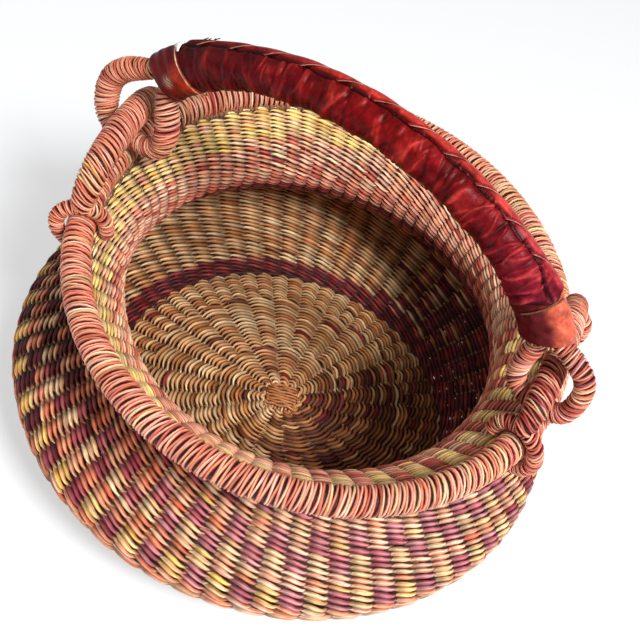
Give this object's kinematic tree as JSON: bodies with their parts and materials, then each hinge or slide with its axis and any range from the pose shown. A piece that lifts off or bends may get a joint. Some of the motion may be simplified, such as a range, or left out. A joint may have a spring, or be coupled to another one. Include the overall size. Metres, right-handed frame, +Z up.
{
  "type": "grass egg basket",
  "caption": "Round hand-woven grass basket with a wide belly, drawn-in neck and flared collar, wrapped rim with ears, and a swinging leather-covered arched handle.",
  "frame": {"origin": "centre of the flat underside of the woven base, on the surface that the basket stands on", "axes": "+Z up along the basket's axis, X along the handle's hinge line from the left ear to the right ear, -Y towards the front, where the rim dips a little"},
  "size_m": [0.3494, 0.3495, 0.2668],
  "materials": {
    "natural_grass": "woven dry grass, tan and brown, matt with a low straw sheen",
    "wine_grass": "woven dyed grass, dark wine red, matt with a low straw sheen",
    "dyed_grass": "woven dyed grass in salmon, maroon and yellow cells, low straw sheen",
    "yellow_grass": "woven dyed grass, yellow above and salmon pink below, low straw sheen",
    "pink_grass": "grass strips wound closely round a strand, salmon pink and cream",
    "plain_grass": "bundled dry grass, straw brown, matt",
    "oxblood_leather": "smooth oxblood leather, glossy with cross wrinkles",
    "red_leather": "smooth orange-red leather, glossy and worn",
    "lacing_leather": "narrow leather thongs, pinkish red, satin"
  },
  "bodies": {
    "basket": {"base_disc": "natural_grass", "base_cross": "wine_grass", "base_border": "wine_grass", "wall": "dyed_grass", "neck_band": "wine_grass", "collar": "yellow_grass", "rim_roll": "pink_grass", "ear_left": "pink_grass", "ear_right": "pink_grass"},
    "handle": {"handle_core": "plain_grass", "handle_ring_left": "pink_grass", "handle_ring_right": "pink_grass", "leather_grip": "oxblood_leather", "cuff_left": "red_leather", "cuff_right": "red_leather", "lace_01": "lacing_leather", "lace_02": "lacing_leather", "lace_03": "lacing_leather", "lace_04": "lacing_leather", "lace_05": "lacing_leather", "lace_06": "lacing_leather", "lace_07": "lacing_leather", "lace_08": "lacing_leather", "lace_09": "lacing_leather", "lace_10": "lacing_leather", "lace_11": "lacing_leather"}
  },
  "joints": [
    {"name": "handle_swing", "type": "hinge", "parent": "basket", "child": "handle", "pos_m": [0, -0.018, 0.15525], "axis": [1, 0, 0], "range_deg": [-30, 30]}
  ]
}
